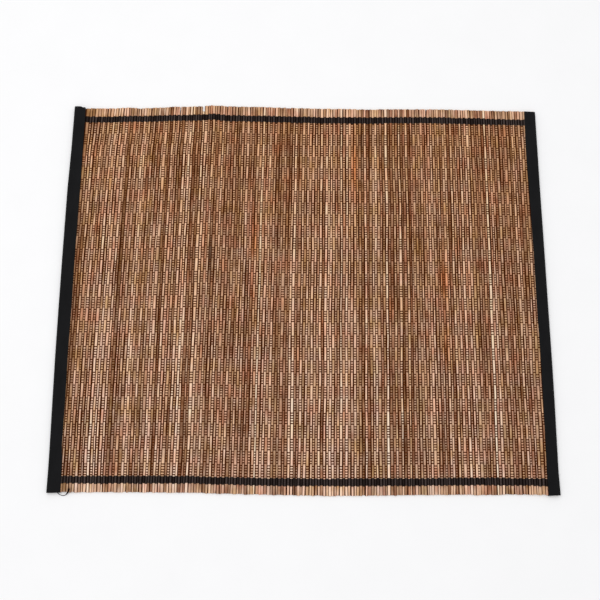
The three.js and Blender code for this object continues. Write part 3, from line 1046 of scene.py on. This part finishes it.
# %% [markdown]
# The bamboo's colour is built up in steps. First comes how light it is: the slat's own tone and
# the placed areas, with a slow drift along the slat, patches over several slats, and the grain of
# its fibres. That number picks a brown. Soft tints follow, weaker on the light slats, and then the
# stains and the shade in the grooves. One noise could colour it all, but slats would look alike.

# %% Tone and tints of the bamboo
DARKEST = 0.71
LIGHTEST = 1.835
FAR_END_MM = 190.0


def bamboo_level(tree, tone, own, grain):
    """How light the bamboo is, from 0 to 1. To the slat's own tone and the placed areas are added a
    drift along the slat, patches 6 mm wide and 10 mm long, and the grain, each with its weight.
    own is an offset that gives every slat its own drift."""
    place = add(tree, "VectorMath", n0=sized(tree, 40, 34, 40), n1=own)
    along = add(tree, "TexNoise", Vector=place, Scale=1.0, Detail=2.0)
    patch = add(tree, "TexNoise", Vector=sized(tree, 6, 10, 6), Scale=1.0, Detail=2.5)
    area = add(tree, "Attribute", {"attribute_name": "tone_patch"}).outputs["Fac"]
    total = add(tree, "Math", {"operation": "ADD"}, n0=tone, n1=area)
    for noise, weight in ((along, 0.7), (patch, 0.62), (grain, 0.35)):
        total = add(tree, "Math", {"operation": "MULTIPLY_ADD"}, n0=noise, n1=weight, n2=total)
    return add(tree, "MapRange", Value=total, From_Min=DARKEST, From_Max=LIGHTEST)


def hue_tint(tree, hue):
    """From straw to reddish, by the slat's own hue and soft areas 11 mm wide and 17 mm long."""
    place = add(tree, "VectorMath", n0=sized(tree, 11, 17, 11), n1=(5.0, 9.0, 2.0))
    area = add(tree, "TexNoise", Vector=place, Scale=1.0, Detail=1.0)
    mixed = add(tree, "Math", {"operation": "MULTIPLY_ADD"}, n0=hue, n1=0.22, n2=area)
    share = add(tree, "MapRange", Value=mixed, From_Min=0.3, From_Max=0.92)
    hues = [(0, "#f0eed0"), (0.25, "#faf7e8"), (0.5, "#ffffff"), (0.75, "#fff0ee"), (1, "#f8dcd8")]
    return add(tree, "ValToRGB", stops=hues, Fac=share)


def front_light_tint(tree):
    """Painted light: paler towards the front, a little browner towards the back black band, and
    less so past it, by Y in millimetres.
    """
    y = add(tree, "SeparateXYZ", Vector=sized(tree, 1, 1, 1)).outputs["Y"]
    share = add(tree, "MapRange", Value=y, From_Min=-FAR_END_MM, From_Max=FAR_END_MM)
    front_light_stops = [(0, "#ffffff"), (0.95, "#f3e4cf"), (0.965, "#fdf7ee"), (1, "#fdf7ee")]
    return add(tree, "ValToRGB", stops=front_light_stops, Fac=share)


def grey_tint(tree):
    """From cool to warm, in soft areas 10 mm wide and 24 mm long."""
    place = add(tree, "VectorMath", n0=sized(tree, 10, 24, 10), n1=(2.0, 4.0, 7.0))
    dull = add(tree, "TexNoise", Vector=place, Scale=1.0, Detail=2.0)
    return add(tree, "ValToRGB", stops=[(0.3, "#edf4ff"), (0.7, "#fff8ee")], Fac=dull)


# %% Split bamboo
MIX = {"data_type": "RGBA", "blend_type": "MIX"}
MULTIPLY = {"data_type": "RGBA", "blend_type": "MULTIPLY"}


def split_bamboo():
    """Browned split bamboo with fibres 0.45 mm wide along Y. The skin is scraped off before
    weaving, so it shines only faintly."""
    material, tree = new_material("browned_split_bamboo")
    numbers = add(tree, "Attribute", {"attribute_name": "slat_numbers"}).outputs["Vector"]
    tone, hue, seed = add(tree, "SeparateXYZ", Vector=numbers).outputs
    own = add(tree, "CombineXYZ", X=seed, Z=seed)
    fibres = add(tree, "VectorMath", n0=sized(tree, 0.45, 9, 0.45), n1=own)
    grain = add(tree, "TexNoise", Vector=fibres, Scale=1.0, Detail=3.0)
    level = bamboo_level(tree, tone, own, grain)
    browns = [(0, "#774f36"), (0.25, "#a37c60"), (0.5, "#d5ad90"), (0.75, "#f9d2b8"),
              (1, "#ffe9d0")]
    colour = add(tree, "ValToRGB", stops=browns, Fac=level)
    weaker = add(tree, "MapRange", Value=level, From_Min=0.5, To_Min=1.0, To_Max=0.35)
    colour = add(tree, "Mix", MULTIPLY, n0=weaker, n6=colour, n7=hue_tint(tree, hue))
    # Painted light: the bamboo is paler towards the front than at the back.
    colour = add(tree, "Mix", MULTIPLY, n0=1.0, n6=colour, n7=front_light_tint(tree))
    colour = add(tree, "Mix", MULTIPLY, n0=weaker, n6=colour, n7=grey_tint(tree))
    warm = add(tree, "Attribute", {"attribute_name": "warm_stain"}).outputs["Fac"]
    colour = add(tree, "Mix", MULTIPLY, n0=warm, n6=colour, n7=linear("#f6c08e"))
    groove = add(tree, "Attribute", {"attribute_name": "groove"}).outputs["Fac"]
    shade = add(tree, "MapRange", {"interpolation_type": "SMOOTHSTEP"}, Value=groove,
                From_Min=0.2, From_Max=1.0)
    colour = add(tree, "Mix", MIX, n0=shade, n6=colour, n7=linear("#562501"))
    dark = add(tree, "Attribute", {"attribute_name": "dark_stain"}).outputs["Fac"]
    colour = add(tree, "Mix", MIX, n0=dark, n6=colour, n7=linear("#2f170c"))
    bump = add(tree, "Bump", Height=grain, Strength=0.5, Distance=0.08 * MM)
    rough = add(tree, "MapRange", Value=grain, To_Min=0.6, To_Max=0.8)
    finish(material, Base_Color=colour, Roughness=rough, Normal=bump, Specular_IOR_Level=0.05)
    return material


bamboo = split_bamboo()
for name in SLAT_PIECES:
    dress(name, bamboo, "woven_field")

# %% [markdown]
# Thread finish. Both threads are spun and twisted, dull and slightly hairy. The twist could be
# modelled as strands, but at this size slanted grooves as bump are enough. Their real 0.4 mm is too
# fine for the picture, so they are drawn at about twice that. The brown thread is a dark reddish
# brown, the black one a warm black with a painted highlight on the top of each ridge.

# %% Twisted thread
TWIST_SCALE = 0.32


def twisted_thread(name, dark, light, crest_highlight):
    """Spun thread: slanted twist grooves as bump, a colour that varies softly along it, and a painted
    highlight, a paler colour where a thread's crest_highlight attribute is high."""
    material, tree = new_material(name)
    wave = add(tree, "TexWave", {"bands_direction": "DIAGONAL"}, Vector=sized(tree, 0.8, 0.8, 0.8),
               Scale=TWIST_SCALE, Distortion=0.6)
    twist = wave.outputs["Fac"]
    patch = add(tree, "TexNoise", Vector=sized(tree, 14, 4, 14), Scale=1.0, Detail=3.0)
    mixed = add(tree, "Math", {"operation": "MULTIPLY_ADD"}, n0=twist, n1=0.35, n2=patch)
    spun = add(tree, "ValToRGB", stops=[(0.3, dark), (0.95, light)], Fac=mixed)
    # Painted highlight: the crest attribute mixes a paler colour onto the tops of the black band's
    # ridges.
    height = add(tree, "Attribute", {"attribute_name": "crest_highlight"}).outputs["Fac"]
    colour = add(tree, "Mix", MIX, n0=height, n6=spun, n7=linear(crest_highlight))
    bump = add(tree, "Bump", Height=twist, Strength=0.6, Distance=0.1 * MM)
    finish(material, Base_Color=colour, Roughness=0.85, Normal=bump, Specular_IOR_Level=0.0)
    return material


brown_thread = twisted_thread("brown_cotton_thread", "#431b01", "#5d2b06", "#5d2b06")
black_thread = twisted_thread("black_cotton_thread", "#0a0504", "#1d1513", "#554a47")
for name in THREAD_PIECES:
    dress(name, brown_thread, "woven_field")
dress("black_threads_back", black_thread, "black_band_back")
dress("black_threads_front", black_thread, "black_band_front")
dress("thread_tail", black_thread, "binding_left")

# %% [markdown]
# Tape finish. The tape is plain black cotton: a dense flat weave with a dull, dusty face.
# Yarns as meshes would be far too many, so two sets of fine ribs, along the tape and across it,
# make the weave as bump. The real ones are about 0.3 mm apart, and are drawn at twice that to show.

# %% Cotton tape
RIB_SCALE = 0.314


def cotton_tape():
    """Black cotton tape: two crossed sets of ribs 0.6 mm apart, and faint lighter wear. A Wave
    texture at RIB_SCALE has one rib in each step of its coordinates."""
    material, tree = new_material("black_cotton_tape")
    place = sized(tree, 0.6, 0.6, 0.6)
    ribs = [add(tree, "TexWave", {"bands_direction": direction}, Vector=place,
                Scale=RIB_SCALE).outputs["Fac"] for direction in ("X", "Y")]
    weave = add(tree, "Math", {"operation": "MULTIPLY"}, n0=ribs[0], n1=ribs[1])
    wear = add(tree, "TexNoise", Vector=sized(tree, 9, 22, 9), Scale=1.0, Detail=5.0)
    mixed = add(tree, "Math", {"operation": "MULTIPLY_ADD"}, n0=weave, n1=0.3, n2=wear)
    colour = add(tree, "ValToRGB", stops=[(0.3, "#09090b"), (0.95, "#131315")], Fac=mixed)
    bump = add(tree, "Bump", Height=weave, Strength=0.5, Distance=0.12 * MM)
    finish(material, Base_Color=colour, Roughness=0.9, Normal=bump, Specular_IOR_Level=0.15,
           Sheen_Weight=0.03, Sheen_Roughness=0.6)
    return material


tape = cotton_tape()
dress("tape_left", tape, "binding_left")
dress("tape_right", tape, "binding_right")
